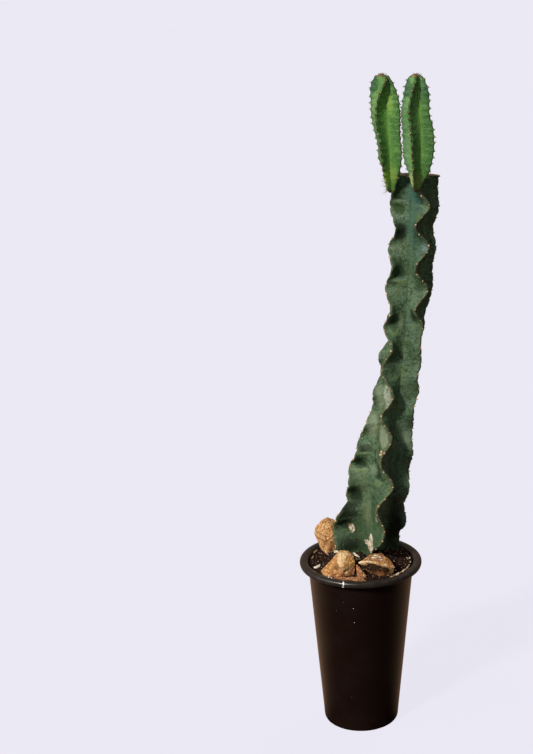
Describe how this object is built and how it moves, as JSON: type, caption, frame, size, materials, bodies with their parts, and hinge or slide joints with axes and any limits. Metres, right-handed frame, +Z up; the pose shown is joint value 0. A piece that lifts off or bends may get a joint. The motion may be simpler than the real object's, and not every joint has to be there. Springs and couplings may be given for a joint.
{
  "type": "potted peruvian apple cactus",
  "caption": "Old four-ribbed columnar cactus, cut flat at the top, with two young shoots, in soil with tan stones in a tall dark nursery pot.",
  "frame": {"origin": "centre of the pot's base, on the floor", "axes": "+Z up; -Y is the front, the side that the picture shows; +X to its right"},
  "size_m": [0.293, 0.2596, 1.3725],
  "materials": {
    "pot": "semi-gloss dark brown-black plastic",
    "soil": "damp potting mix with bark crumbs",
    "old_stem": "waxy blue-green skin with corky scars, tan areoles and short spines",
    "young_stem": "fresh green skin with tan areoles and short spines",
    "stone": "rough golden-tan stone"
  },
  "bodies": {
    "root": {"pot": "pot", "soil": "soil", "main_stem": "old_stem", "shoot_left": "young_stem", "shoot_right": "young_stem", "rock_back_left": "stone", "rock_front_left": "stone", "rock_front_right": "stone", "rock_middle": "stone", "rock_flat": "stone"}
  },
  "joints": []
}
